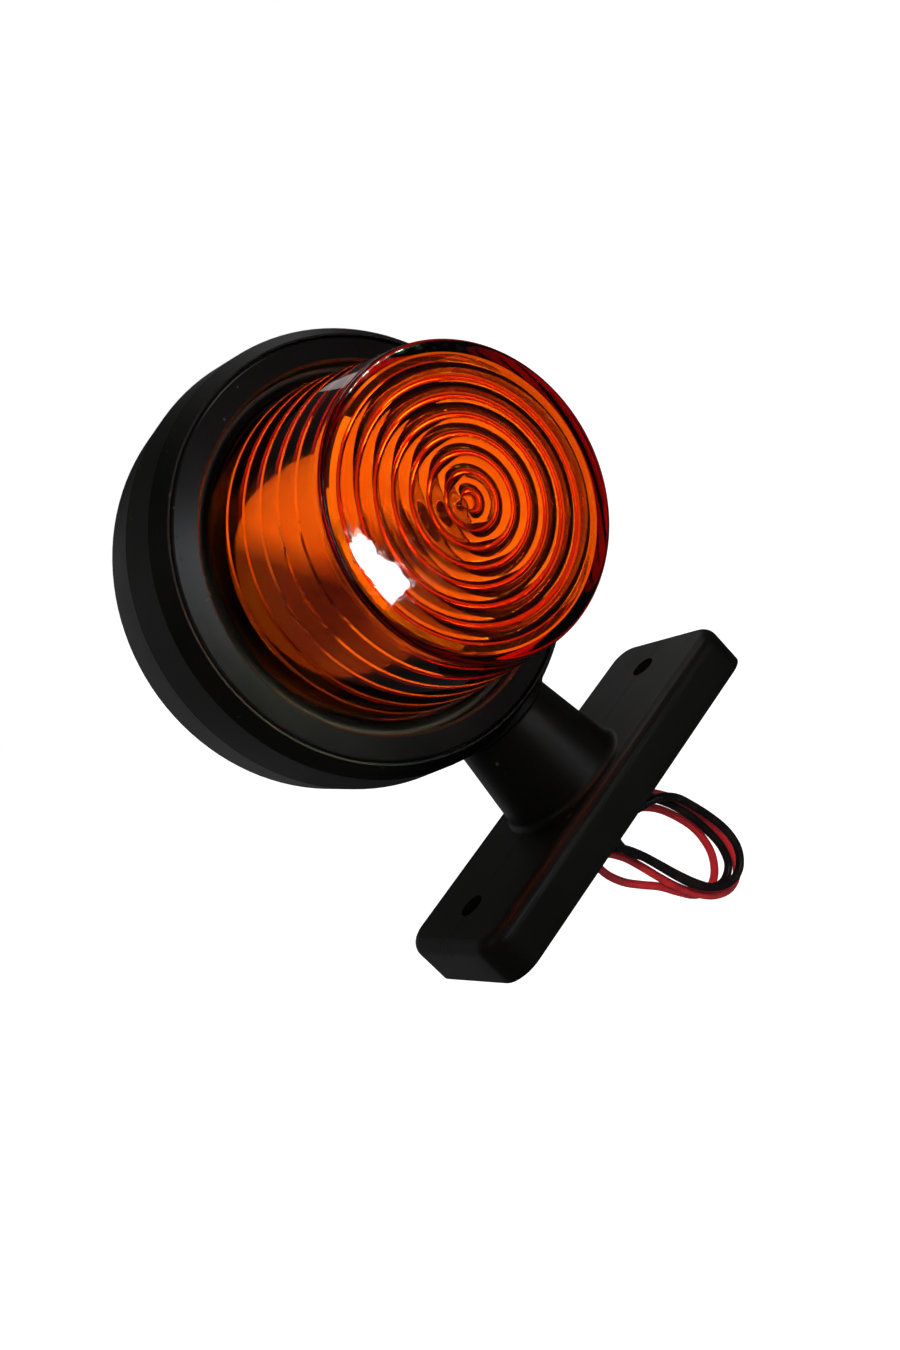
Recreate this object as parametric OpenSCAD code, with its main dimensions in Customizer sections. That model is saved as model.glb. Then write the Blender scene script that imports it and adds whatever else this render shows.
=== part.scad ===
// Single-faced stalk marker lamp: a moulded black housing (round head, short stalk, screw-down foot), an
// amber drum lens held by a ring, a bayonet bulb holder with a sprung contact, a pressed reflector, a bulb,
// and two looped leads.
// Frame: the origin is the centre of the foot's back face, +X runs along the foot, +Z points from the foot
// to the head, and the lens looks along -Y. Depths in the head are counted forwards from the parting plane,
// Y = 0.

/* [Foot] */
// Length of the foot
foot_l = 92; // [86:1:110]
// Width of the foot
foot_w = 36; // [32:0.2:40]
// Thickness of the foot
foot_t = 10.6; // [9:0.2:14]
// Corner radius of the foot, seen from above
foot_corner_r = 6; // [5:0.5:12]
// Rounding of the foot's top edge
foot_edge_r = 3; // [1:0.5:4]
// Distance between the two screw holes
screw_spacing = 70; // [66:1:76]
// Diameter of the screw holes
screw_hole_d = 5.5; // [4.5:0.1:6.5]
// Length of the cored-out pocket in the foot's back
pocket_l = 40; // [30:1:46]
// Width of the pocket
pocket_w = 22; // [18:1:26]
// Depth of the pocket
pocket_depth = 4; // [3:0.5:5]
// Corner radius of the pocket
pocket_corner_r = 5; // [3:0.5:8]

/* [Stalk] */
// Diameter of the stalk where it leaves the foot
stalk_base_d = 28.4; // [25:0.2:30]
// Diameter of the stalk where it meets the head
stalk_top_d = 23.4; // [20:0.2:25]
// Fillet between the stalk and the foot
stalk_root_r = 1.6; // [1:0.2:3]
// Flare of the stalk as it runs into the head
stalk_flare = 1; // [0.4:0.2:1.6]
// Diameter of the lead channel
channel_d = 9; // [8:0.5:10]

/* [Head] */
// Height of the lens axis above the foot's back face
head_height = 77; // [74:1:90]
// Diameter of the head at the parting line
head_d = 93.2; // [91:0.2:97]
// How far the side wall draws in from the parting line to its corners
side_draft = 1; // [0.2:0.1:1.4]
// Depth of the side wall's front corner
corner_depth = 10.7; // [9:0.1:12]
// Width of the chamfer on the front corner
chamfer_w = 2.4; // [1.5:0.1:3]
// Depth of the rubber lip at the front
lip_depth = 14.6; // [13.5:0.1:16]
// Depth of the closed back behind the parting plane
back_depth = 16; // [13:0.5:18]
// Rounding of the back edge
back_edge_r = 4; // [2:0.5:6]
// Thickness of the cup's floor
floor_t = 5; // [3:0.5:6]
// Depth of the ledge that carries the seal
ledge_depth = 7; // [6:0.1:8]
// Width of that ledge, from the ring's seat in to the cup
ledge_w = 3; // [2.5:0.1:4]
// Wall of the head round the ring's seat
seat_wall = 5.6; // [5.4:0.1:6]

/* [Lens and ring] */
// Width of the lens ring's face
ring_w = 5.2; // [4.8:0.1:6]
// Thickness of the ring's front flange
ring_flange_t = 1.7; // [1.2:0.1:2.2]
// How far the ring's outer edge stands in front of the lip
ring_proud = 0.1; // [0:0.1:0.5]
// Rise of the ring's face from its outer to its inner edge
ring_rise = 0.8; // [0:0.1:1.5]
// Thickness of the lens seal
seal_t = 1.3; // [1:0.1:1.8]
// Thickness of the lens flange
flange_t = 2.3; // [1.8:0.1:2.6]
// Depth of the lens face in front of the parting plane
lens_depth = 51; // [48:0.5:56]
// Step from the ring's opening in to the lens
lens_step = 2.2; // [1.6:0.1:3]
// How far the lens draws in from its flange to its front rim
lens_taper = 5.8; // [4:0.1:7]
// Rounding of the lens rim
lens_rim_r = 1; // [0.6:0.1:3.5]
// Wall of the lens
lens_wall = 2.4; // [2:0.1:3]
// Distance between the rings on the lens face
ring_pitch = 3.4; // [3:0.1:3.8]
// Depth of the rings inside the lens face
ring_bead = 1.1; // [0.6:0.1:1.4]
// Distance between the prisms inside the lens wall
prism_pitch = 5.9; // [5:0.1:6.2]
// Height of the prisms inside the lens wall
prism_h = 0.9; // [0.4:0.1:1.2]
// Depth taken by the steep edge of a prism
prism_edge = 0.9; // [0.6:0.1:1.5]
// Distance from the lens flange to the first prism
prism_start = 6.7; // [5:0.1:9]

/* [Bulb holder] */
// Bore of the holder's shell
shell_bore_d = 15.7; // [15.6:0.1:16]
// Sheet thickness of the shell
shell_t = 0.5; // [0.4:0.1:0.8]
// Depth of the shell's rim
shell_rim = 15.6; // [15:0.1:17]
// Height of the bosses under the holder
boss_h = 3; // [3:0.1:4]
// Distance of each fixing screw from the lens axis
holder_screw_x = 14; // [13:0.5:16]
// Width of the holder's flange
holder_w = 17.6; // [17.4:0.2:20]
// Thickness of the insulating discs
disc_t = 1.6; // [1.2:0.1:2]
// Mean diameter of the contact spring
spring_d = 10; // [8:0.5:11]
// Wire diameter of the contact spring
spring_wire_d = 0.8; // [0.5:0.1:1]
// Turns of the contact spring
spring_turns = 5; // [3:1:7]
// How far the bulb presses in before it turns free
press_travel = 1.5; // [1:0.1:1.8]

/* [Reflector] */
// Sheet thickness of the reflector
reflector_t = 0.6; // [0.5:0.1:1]
// Depth of the reflector where it meets its collar
reflector_low = 1; // [0.5:0.1:2]
// Height of the collar that grips the bulb holder
collar_h = 4; // [3:0.1:5]
// Clear width between the reflector's rim and the lens wall
reflector_clear = 4.7; // [3:0.1:7]
// Distance of the reflector's rim below the lens flange
reflector_drop = 1.5; // [0.5:0.1:2.5]

/* [Bulb] */
// Diameter of the bulb's cap
cap_d = 15; // [14.8:0.1:15]
// Depth of the bulb's pins
pin_depth = 12; // [11.8:0.1:12.5]
// Diameter of the pins
pin_d = 2; // [1.8:0.1:2.2]
// Distance over the two pins
pin_span = 17; // [16.9:0.1:17.4]
// Distance from the pins to the end of the contact
pin_to_contact = 7.1; // [6.8:0.1:7.2]
// Distance from the pins to the cap's top
pin_to_cap_top = 9.5; // [9:0.5:10.5]
// Distance from the pins to the filament
light_centre = 19; // [18:0.5:20]
// Diameter of the glass
glass_d = 18; // [17:0.5:19]
// Wall of the glass
glass_t = 0.6; // [0.5:0.1:0.8]

/* [Leads] */
// Diameter of each lead over its insulation
lead_d = 1.9; // [1.6:0.1:2]
// Diameter of the stripped conductor
core_d = 1.1; // [0.9:0.1:1.2]
// Distance between the two leads where they run side by side
lead_pitch = 3; // [2.8:0.1:3.2]
// Length of bare conductor at each free end
tip_l = 6; // [5:0.5:8]

/* [Hidden] */
$fn = 96;
eps = 0.01;
cut = 1;                       // how far cutting shapes run past what they cut
gap = 0.3;                     // clearance between pieces that come apart
slip = 0.05;                   // radial clearance of a lead or a screw in its hole
arc_steps = 8;
bead_steps = 4;

head_r = head_d / 2;
corner_r = head_r - side_draft;
lip_r = corner_r - chamfer_w;
floor_depth = floor_t - back_depth;
seat_r = head_r - seat_wall;
cup_r = seat_r - ledge_w;
lip_t = 0.4;                   // width of the lip's front edge
ring_flange_r = lip_r - lip_t - gap;
ring_opening_r = ring_flange_r - ring_w;
ring_spigot_r = seat_r - gap;
ring_spigot_t = 0.8;
ring_out_depth = lip_depth + ring_proud;
ring_in_depth = ring_out_depth + ring_rise;
ring_under = ring_out_depth - ring_flange_t;
rebate_depth = ring_under - gap;
ring_edge = 0.5;               // small bevel on the ring's edges
seal_in = 0.3;                 // distance of the seal from the ledge's inner edge
seal_top = ledge_depth + seal_t;
flange_low = seal_top + gap;
flange_top = flange_low + flange_t;
lens_flange_r = ring_spigot_r - ring_spigot_t - gap;

lens_base_r = ring_opening_r - lens_step;
lens_rim_half = lens_base_r - lens_taper;
lens_side_top = lens_depth - lens_rim_r;
lens_inner_face = lens_depth - lens_wall;
lens_slope = (lens_base_r - lens_rim_half) / (lens_side_top - flange_top);
dome_r = 1.7;                  // the small flat at the centre of the lens face's rings
bead_margin = 1;               // least clear width between the outer ring and the wall
ring_count = floor((lens_rim_half - lens_wall - dome_r - bead_margin) / ring_pitch);
first_prism = flange_top + prism_start;
prism_count = floor((lens_inner_face - bead_margin - first_prism - prism_edge) / prism_pitch) + 1;

shell_r = shell_bore_d / 2;
boss_r = 4;
boss_top = floor_depth + boss_h;
plate_t = 1;
plate_top = boss_top + plate_t;
plate_hole_r = 4.5;
holder_screw_r = 1.4;
holder_screw_head_r = 2.8;
holder_screw_head_t = 1.8;
pilot_skin = 1.5;               // wall left behind each pilot hole
pilot_l = floor_t + boss_h - pilot_skin;
screw_end_gap = 0.5;
disc_gap = 0.45;               // clearance of the discs in the shell
disc_r = shell_r - disc_gap;
washer_r = disc_r - 0.6;
tab_t = 0.5;
tab_w = 3;
tab_gap = 0.6;                 // from the live tab's end to the cup's floor
earth_tab_x = -7;
earth_tab_l = 5;
earth_tab_y = holder_w / 2 - 0.6;
base_disc_top = plate_top + disc_t;
washer_top = base_disc_top + tab_t;
pin_gap = gap;
slot_low = pin_depth - press_travel - pin_d / 2 - pin_gap;
slot_w = pin_d + 2 * pin_gap;
notch_top = pin_depth + pin_d / 2 + pin_gap;
slot_turn = 45;                // turn from the notch to the entry, in degrees
slot_relief = 1.5;             // small undercut at each end of the leg, in degrees
cap_r = cap_d / 2;
cap_t = 0.4;
cap_top = pin_depth + pin_to_cap_top;
contact_end = pin_depth - pin_to_contact;
solder_t = 1;
solder_r = 2.4;
cap_low = contact_end + solder_t;
insulator_t = 2.2;
stud_head_t = 0.8;
stud_head_r = 2.5;
stud_stem_r = 1.2;
stud_rivet_r = 2.4;
stud_rivet_t = 0.6;
stud_top = contact_end - gap;
disc_top = stud_top - stud_head_t;
disc_low = disc_top - disc_t;
filament_depth = pin_depth + light_centre;
glass_r = glass_d / 2;
cement_t = 0.1;                // cement between the cap and the glass
neck_r = cap_r - cap_t - cement_t;
neck_gap = 2;                  // from the insulator to the glass, filled by air
neck_low = cap_low + insulator_t + neck_gap;
stem_top = cap_top - 1;
stem_foot_t = 1;
stem_flare_t = 3;
stem_r = 2.6;
post_r = 0.25;
post_x = 3.2;
filament_r = 0.45;
filament_end = 0.5;            // how far the filament runs past its posts
spring_points = 12;            // points in each turn of the contact spring
spring_sides = 6;
collar_r = shell_r + shell_t + slip;
reflector_r = lens_base_r - lens_wall - reflector_clear;
reflector_rim = flange_low - reflector_drop - reflector_t;

stalk_high = head_height - head_r + cut;
stalk_skin = 2;                // wall between the stalk's end and the cup
stalk_into = head_height - cup_r - stalk_skin;
bush_flange_r = 6.5;
bush_flange_t = 1.5;
bush_plug_l = 6;
bush_face = pocket_depth - bush_flange_t;
lead_r = lead_d / 2;
lead_y = lead_pitch / 2;
cord_sides = 8;
inner_sides = 12;
inner_steps = 2;
inner_bend = 7;                // height in which an inner lead swings out to its tab
inner_rise = 15;
channel_top = head_height - cup_r;
red_end_y = -(floor_depth + tab_gap + lead_r);
red_core_z = head_height - tab_t / 2;
earth_joint = 3.5;             // from the holder's flange to the black lead's joint
black_end = [earth_tab_x + tab_w / 2, -(plate_top + earth_joint), head_height - earth_tab_y];
core_bare = 4;                 // bare conductor at each soldered end

// Points of the free leads below the foot, chosen by hand: two loops each, then a short tail
red_route = [
    [0, 1.5, 0], [0.8, 1.7, -2.9], [3, 2.2, -5.1], [7, 3.4, -7.5], [11.5, 4.6, -10.6], [15, 5, -14.6],
    [17.2, 5, -19.5], [18.6, 5, -25], [18.5, 5, -29.5], [17.2, 5, -33.5], [14.2, 5, -36.6],
    [10.4, 5, -37.4], [6.8, 5, -35.2], [4.2, 5, -31], [1.8, 5, -26.4], [-1.2, 5, -22.3], [-4, 5, -18],
    [-5.6, 5.2, -13], [-5, 5.4, -8], [-2, 5.4, -4.2], [3, 5.2, -2.4], [8, 4.6, -3.2], [12.6, 3.8, -6.4],
    [16.2, 2.9, -11], [19, 2.5, -16.4], [21, 2.5, -23], [21.6, 2.5, -29.5], [20.6, 2.5, -35.6],
    [17.6, 2.5, -39.8], [13.4, 2.5, -40.6], [9.2, 2.5, -38.2], [6, 2.5, -33.8], [3.6, 2.5, -28.6],
    [2, 2.5, -23.4], [0.6, 2.5, -18], [-0.9, 2.5, -13.4], [-3.6, 2.6, -9], [-8, 3, -6], [-13.5, 3.4, -5]
];
black_route = [
    [0, -1.5, 0], [0.8, -1.5, -2.9], [3, -1.8, -5.1], [7.5, -2.3, -7.2], [12.6, -3, -9.4],
    [16.2, -2.8, -13], [18.2, -2.5, -18], [19.7, -2.5, -24], [20.2, -2.5, -29.3], [19, -2.5, -34],
    [15.7, -2.5, -36.8], [11.4, -2.5, -36.5], [7.2, -2.5, -33.2], [4.4, -2.5, -28.8], [2.7, -2.5, -23.9],
    [1.4, -2.5, -19], [0, -2.6, -14.4], [-2, -3.1, -10.6], [-2.5, -4.1, -6.5], [-0.5, -4.9, -3.1],
    [3.4, -4.9, -1.6], [8, -3.2, -2.4], [11.4, -0.6, -5.4], [13.6, 0, -10], [15.9, 0, -15], [17.4, 0, -20.5],
    [18, 0, -26.3], [17.8, 0, -31.2], [16, 0, -35.2], [12.4, 0, -36.6], [8.9, 0, -35], [6.4, 0, -30.6],
    [4.4, 0, -25.1], [2.9, 0, -20.1], [1.3, 0, -15.2], [-0.8, 0, -10.8], [-4.4, -0.4, -7.2],
    [-9.4, -0.8, -5]
];

// Quarter arc about [cx, cy], from angle a0 to a1
function arc(cx, cy, r, a0, a1, steps = arc_steps) =
    [for (i = [0:steps]) let (a = a0 + (a1 - a0) * i / steps) [cx + r * cos(a), cy + r * sin(a)]];

// Moves what is drawn about the Z axis onto the lens axis, with local +Z pointing forwards
module on_lens_axis() translate([0, 0, head_height]) rotate([90, 0, 0]) children();

// A disc or tube on the lens axis between two depths
module barrel(r, low, high) translate([0, 0, low]) cylinder(r = r, h = high - low);
module tube(r_out, r_in, low, high) difference() {
    barrel(r_out, low, high);
    barrel(r_in, low - cut, high + cut);
}

// A rod from point a to point b
module rod(a, b, r) {
    v = b - a;
    len = norm(v);
    translate(a) rotate([0, acos(v.z / len), atan2(v.y, v.x)]) cylinder(r = r, h = len, $fn = 32);
}

// ---- Housing ----

module foot_corner() rotate_extrude($fn = 48) polygon(concat(
    [[0, 0], [foot_corner_r, 0]],
    arc(foot_corner_r - foot_edge_r, foot_t - foot_edge_r, foot_edge_r, 0, 90),
    [[0, foot_t]]
));

module foot_block() hull()
    for (x = [-1, 1], y = [-1, 1])
        translate([x * (foot_l / 2 - foot_corner_r), y * (foot_w / 2 - foot_corner_r), 0]) foot_corner();

module stalk_solid() {
    base_r = stalk_base_d / 2;
    top_r = stalk_top_d / 2;
    rotate_extrude() polygon(concat(
        [[0, foot_t - cut], [base_r + stalk_root_r, foot_t - cut]],
        arc(base_r + stalk_root_r, foot_t + stalk_root_r, stalk_root_r, 270, 180),
        [[top_r, stalk_high - stalk_flare]],
        arc(top_r + stalk_flare, stalk_high - stalk_flare, stalk_flare, 180, 90),
        [[top_r + stalk_flare, stalk_into], [0, stalk_into]]
    ));
}

module head_solid() on_lens_axis() rotate_extrude($fn = 128) polygon(concat(
    [[0, -back_depth]],
    arc(corner_r - back_edge_r, back_edge_r - back_depth, back_edge_r, -90, 0),
    [[head_r, 0], [corner_r, corner_depth], [lip_r, lip_depth], [0, lip_depth]]
));

module cup_cut() on_lens_axis() rotate_extrude($fn = 128) polygon([
    [0, floor_depth], [cup_r, floor_depth], [cup_r, ledge_depth], [seat_r, ledge_depth],
    [seat_r, rebate_depth], [lip_r - lip_t, rebate_depth], [lip_r - lip_t, lip_depth + cut],
    [0, lip_depth + cut]
]);

module holder_bosses() on_lens_axis() for (x = [-1, 1])
    translate([x * holder_screw_x, 0, 0]) barrel(boss_r, floor_depth - cut, boss_top);

module pilot_holes() on_lens_axis() for (x = [-1, 1])
    translate([x * holder_screw_x, 0, 0])
        barrel(holder_screw_r + slip, boss_top - pilot_l, boss_top + cut);

module pocket_cut() {
    x = pocket_l / 2 - pocket_corner_r;
    y = pocket_w / 2 - pocket_corner_r;
    translate([0, 0, -cut]) linear_extrude(pocket_depth + cut) union() {
        for (sx = [-1, 1], sy = [-1, 1]) translate([sx * x, sy * y]) circle(pocket_corner_r, $fn = 48);
        square([pocket_l, 2 * y], center = true);
        square([2 * x, pocket_w], center = true);
    }
}

module housing() color([0.07, 0.075, 0.075]) difference() {
    union() {
        difference() {
            union() {
                head_solid();
                stalk_solid();
            }
            cup_cut();
        }
        foot_block();
        holder_bosses();
    }
    pilot_holes();
    pocket_cut();
    translate([0, 0, pocket_depth - cut])
        cylinder(d = channel_d, h = channel_top - pocket_depth + 2 * cut);
    for (x = [-1, 1]) translate([x * screw_spacing / 2, 0, -cut])
        cylinder(d = screw_hole_d, h = foot_t + 2 * cut);
}

// ---- Lens, its ring and its seal ----

module lens_seal() color([0.12, 0.12, 0.12]) on_lens_axis()
    tube(seat_r - gap, cup_r + seal_in, ledge_depth, seal_top);

module lens_ring() color([0.1, 0.105, 0.115]) on_lens_axis() rotate_extrude($fn = 128) polygon([
    [ring_opening_r, flange_top],
    [ring_spigot_r - ring_spigot_t, flange_top],
    [ring_spigot_r - ring_spigot_t, flange_low],
    [ring_spigot_r, flange_low],
    [ring_spigot_r, ring_under],
    [ring_flange_r, ring_under],
    [ring_flange_r, ring_out_depth - ring_edge],
    [ring_flange_r - ring_edge, ring_out_depth],
    [ring_opening_r + ring_edge, ring_in_depth],
    [ring_opening_r, ring_in_depth - ring_edge]
]);

// Radius of the lens at a depth, outside and inside
function lens_r(d) = lens_base_r - (d - flange_top) * lens_slope;
function lens_in_r(d) = lens_r(d) - lens_wall;

// The rings inside the face: a row of round beads, from the rim inwards
function face_beads() = [
    for (i = [ring_count - 1:-1:0], s = [bead_steps:-1:1])
        let (r = dome_r + (i + s / bead_steps) * ring_pitch)
        [r, lens_inner_face - ring_bead * sin(180 * s / bead_steps)]
];

// The prisms inside the wall: a steep front edge and a long slope behind it
function wall_prisms() = [
    for (i = [0:prism_count - 1], s = [0, 1])
        let (d = first_prism + i * prism_pitch + s * prism_edge)
        [lens_in_r(d) - (s == 1 ? prism_h : 0), d]
];

module lens() color([0.95, 0.45, 0.05, 0.75]) on_lens_axis() rotate_extrude($fn = 128) polygon(concat(
    [[lens_in_r(flange_low), flange_low], [lens_flange_r, flange_low], [lens_flange_r, flange_top],
     [lens_base_r, flange_top]],
    arc(lens_rim_half - lens_rim_r, lens_depth - lens_rim_r, lens_rim_r, 0, 90),
    [[0, lens_depth], [0, lens_inner_face - ring_bead], [dome_r, lens_inner_face - ring_bead],
     [dome_r, lens_inner_face]],
    [for (i = [len(face_beads()) - 1:-1:0]) face_beads()[i]],
    [[lens_in_r(lens_inner_face), lens_inner_face]],
    [for (i = [len(wall_prisms()) - 1:-1:0]) wall_prisms()[i]]
));

// ---- Bulb holder ----

// A cut through the shell's wall, from one angle to another and between two depths
module shell_cut(a0, a1, low, high) rotate([0, 0, a0]) rotate_extrude(angle = a1 - a0)
    translate([shell_r - cut, low]) square([shell_t + 2 * cut, high - low]);

// The notch that holds a pin, the leg round to the entry, and the entry out of the rim
module bayonet_slot() {
    half = slot_w / 2 / shell_r * 180 / PI;
    middle = slot_low + slot_w / 2;
    shell_cut(-half - slot_relief, slot_turn + half + slot_relief, slot_low, slot_low + slot_w);
    shell_cut(-half, half, middle, notch_top);
    shell_cut(slot_turn - half, slot_turn + half, middle, shell_rim + cut);
}

module holder_shell() color([0.75, 0.76, 0.78]) on_lens_axis() difference() {
    union() {
        barrel(shell_r + shell_t, boss_top, shell_rim);
        translate([0, 0, boss_top]) linear_extrude(plate_t) union() {
            square([2 * holder_screw_x, holder_w / 2], center = true);
            circle(d = holder_w);
            for (x = [-1, 1]) translate([x * holder_screw_x, 0]) circle(holder_w / 4);
        }
    }
    barrel(shell_r, plate_top, shell_rim + cut);
    barrel(plate_hole_r, boss_top - cut, plate_top + cut);
    for (x = [-1, 1]) translate([x * holder_screw_x, 0, 0])
        barrel(holder_screw_r + slip, boss_top - cut, plate_top + cut);
    for (a = [0, 180]) rotate([0, 0, a]) bayonet_slot();
}

module holder_screws() color([0.8, 0.8, 0.78]) on_lens_axis() for (x = [-1, 1])
    translate([x * holder_screw_x, 0, 0]) {
        barrel(holder_screw_r, boss_top - pilot_l + screw_end_gap, plate_top + eps);
        barrel(holder_screw_head_r, plate_top, plate_top + holder_screw_head_t);
    }

module base_disc() color([0.45, 0.25, 0.12]) on_lens_axis() difference() {
    barrel(disc_r, plate_top, base_disc_top);
    translate([-tab_w / 2 - slip, -tab_t / 2 - slip, plate_top - cut])
        cube([tab_w + 2 * slip, tab_t + 2 * slip, disc_t + 2 * cut]);
}

module live_tab() color([0.85, 0.68, 0.3]) on_lens_axis() {
    barrel(washer_r, base_disc_top, washer_top);
    translate([-tab_w / 2, -tab_t / 2, floor_depth + tab_gap])
        cube([tab_w, tab_t, base_disc_top - floor_depth]);
}

module earth_tab() color([0.85, 0.68, 0.3]) on_lens_axis()
    translate([earth_tab_x, -earth_tab_y, plate_top]) cube([tab_w, tab_t, earth_tab_l]);

// A round coil spring from one depth to another, as one tube swept by a function
function coil_points(r, low, high, turns, per_turn) =
    [for (i = [0:turns * per_turn]) let (a = 360 * i / per_turn)
        [r * cos(a), r * sin(a), low + (high - low) * i / (turns * per_turn)]];

module contact_spring() color([0.8, 0.8, 0.82]) on_lens_axis() sweep(
    coil_points(spring_d / 2, washer_top + spring_wire_d / 2, disc_low - spring_wire_d / 2, spring_turns,
        spring_points),
    spring_wire_d / 2, spring_sides
);

module contact_disc() color([0.45, 0.25, 0.12]) on_lens_axis()
    tube(disc_r, stud_stem_r + slip, disc_low, disc_top);

module contact_stud() color([0.85, 0.68, 0.3]) on_lens_axis() {
    barrel(stud_head_r, disc_top, stud_top);
    barrel(stud_stem_r, disc_low - stud_rivet_t, disc_top + eps);
    barrel(stud_rivet_r, disc_low - stud_rivet_t, disc_low);
}

// ---- Reflector ----

// A shallow white dish pressed from sheet, whose collar grips the shell of the bulb holder
module reflector() color([0.93, 0.92, 0.88]) on_lens_axis() rotate_extrude($fn = 128) polygon([
    [collar_r, reflector_low], [reflector_r, reflector_rim], [reflector_r, reflector_rim + reflector_t],
    [collar_r + reflector_t, reflector_low + reflector_t],
    [collar_r + reflector_t, reflector_low + collar_h], [collar_r, reflector_low + collar_h]
]);

// ---- Bulb ----

module bulb_cap() color([0.86, 0.72, 0.38]) on_lens_axis() difference() {
    barrel(cap_r, cap_low, cap_top);
    barrel(cap_r - cap_t, cap_low + insulator_t, cap_top + cut);
    barrel(cap_r - 2 * cap_t, cap_low - cut, cap_top + cut);
}

module bulb_pins() color([0.86, 0.72, 0.38]) on_lens_axis() for (a = [0, 180]) rotate([0, 0, a])
    translate([cap_r, 0, pin_depth]) rotate([0, 90, 0])
        cylinder(d = pin_d, h = pin_span / 2 - cap_r, $fn = 32);

module bulb_insulator() color([0.08, 0.06, 0.1]) on_lens_axis()
    barrel(cap_r - 2 * cap_t, cap_low, cap_low + insulator_t);

module bulb_contact() color([0.7, 0.7, 0.7]) on_lens_axis() rotate_extrude($fn = 48) polygon(concat(
    [[0, cap_low]], [[solder_r, cap_low]],
    arc(solder_r - solder_t / 2, cap_low - solder_t / 2, solder_t / 2, 0, -90, 4), [[0, contact_end]]
));

module glass_form(shrink, low) {
    translate([0, 0, filament_depth]) sphere(r = glass_r - shrink);
    barrel(neck_r - shrink, low, filament_depth);
}

module bulb_glass() color([0.95, 0.95, 0.95, 0.3]) on_lens_axis() difference() {
    glass_form(0, neck_low);
    glass_form(glass_t, neck_low - cut);
}

module bulb_stem() color([0.9, 0.9, 0.9, 0.5]) on_lens_axis() rotate_extrude($fn = 48) polygon([
    [0, neck_low], [neck_r - glass_t, neck_low], [neck_r - glass_t, neck_low + stem_foot_t],
    [stem_r, neck_low + stem_foot_t + stem_flare_t], [stem_r, stem_top], [0, stem_top]
]);

module filament_posts() color([0.75, 0.75, 0.75]) on_lens_axis() for (x = [-1, 1])
    rod([x * stem_r / 2, 0, stem_top], [x * post_x, 0, filament_depth - filament_r], post_r);

module filament() color([0.4, 0.4, 0.42]) on_lens_axis()
    translate([-post_x - filament_end, 0, filament_depth]) rotate([0, 90, 0])
        cylinder(r = filament_r, h = 2 * (post_x + filament_end), $fn = 24);

// ---- Leads ----

module red_inner_lead() color([0.75, 0.12, 0.15]) sweep(smooth_route([
    [0, lead_y, bush_face], [0, lead_y, channel_top / 2], [0, lead_y, channel_top - lead_d],
    [0, (lead_y + red_end_y) / 2, channel_top + inner_bend], [0, red_end_y, channel_top + inner_rise],
    [0, red_end_y, red_core_z - core_bare]
], inner_steps), lead_r, inner_sides);

module red_core() color([0.8, 0.55, 0.35])
    rod([0, red_end_y, red_core_z - core_bare], [0, red_end_y, red_core_z], core_d / 2);

module black_inner_lead() color([0.05, 0.05, 0.05]) sweep(smooth_route([
    [0, -lead_y, bush_face], [0, -lead_y, channel_top / 2], [0, -lead_y, channel_top - lead_d],
    [black_end.x / 2, 0, channel_top + inner_bend], [black_end.x, black_end.y, channel_top + inner_rise],
    black_end - [0, 0, core_bare]
], inner_steps), lead_r, inner_sides);

module black_core() color([0.8, 0.55, 0.35]) rod(black_end - [0, 0, core_bare], black_end, core_d / 2);

module cable_bush() color([0.14, 0.14, 0.14]) difference() {
    union() {
        translate([0, 0, bush_face]) cylinder(r = bush_flange_r, h = bush_flange_t);
        translate([0, 0, pocket_depth - eps]) cylinder(d = channel_d - 2 * slip, h = bush_plug_l);
    }
    for (y = [-1, 1]) translate([0, y * lead_y, bush_face - cut])
        cylinder(r = lead_r + slip, h = bush_flange_t + bush_plug_l + 2 * cut);
}

// Catmull-Rom curve through a route, with a number of steps between its points
function spline_at(p0, p1, p2, p3, t) = 0.5 * (2 * p1 + (p2 - p0) * t
    + (2 * p0 - 5 * p1 + 4 * p2 - p3) * t * t + (3 * p1 - p0 - 3 * p2 + p3) * t * t * t);
function smooth_route(p, steps) = let (n = len(p) - 1) concat(
    [for (i = [0:n - 1], s = [0:steps - 1])
        spline_at(i == 0 ? 2 * p[0] - p[1] : p[i - 1], p[i], p[i + 1],
            i == n - 1 ? 2 * p[n] - p[n - 1] : p[i + 2], s / steps)],
    [p[n]]
);
function unit(v) = v / norm(v);
function tangent(p, i) = unit(p[min(i + 1, len(p) - 1)] - p[max(i - 1, 0)]);

// Carries a side vector along the route, so that the tube doesn't twist
function carried(p, i, side) = let (t = tangent(p, i), u = unit(side - t * (side * t)))
    i == len(p) - 1 ? [u] : concat([u], carried(p, i + 1, u));

// One closed tube of any number of sides along a list of points
module sweep(points, r, sides) {
    start = tangent(points, 0);
    side = abs(start.x) < 0.9 ? [1, 0, 0] : [0, 1, 0];
    us = carried(points, 0, side);
    n = len(points);
    verts = [for (i = [0:n - 1], k = [0:sides - 1])
        let (u = us[i], v = cross(tangent(points, i), u), a = 360 * k / sides)
        points[i] + r * (cos(a) * u + sin(a) * v)];
    walls = [for (i = [0:n - 2], k = [0:sides - 1], h = [0, 1])
        let (a = i * sides + k, b = i * sides + (k + 1) % sides)
        h == 0 ? [a, a + sides, b] : [b, a + sides, b + sides]];
    low = [for (k = [1:sides - 2]) [0, k, k + 1]];
    high = [for (k = [1:sides - 2]) [(n - 1) * sides, (n - 1) * sides + k + 1, (n - 1) * sides + k]];
    polyhedron(points = verts, faces = concat(walls, low, high));
}

function lowered(route) = concat([[route[0].x, route[0].y, bush_face]], route);
red_path = lowered(red_route);
black_path = lowered(black_route);

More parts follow.
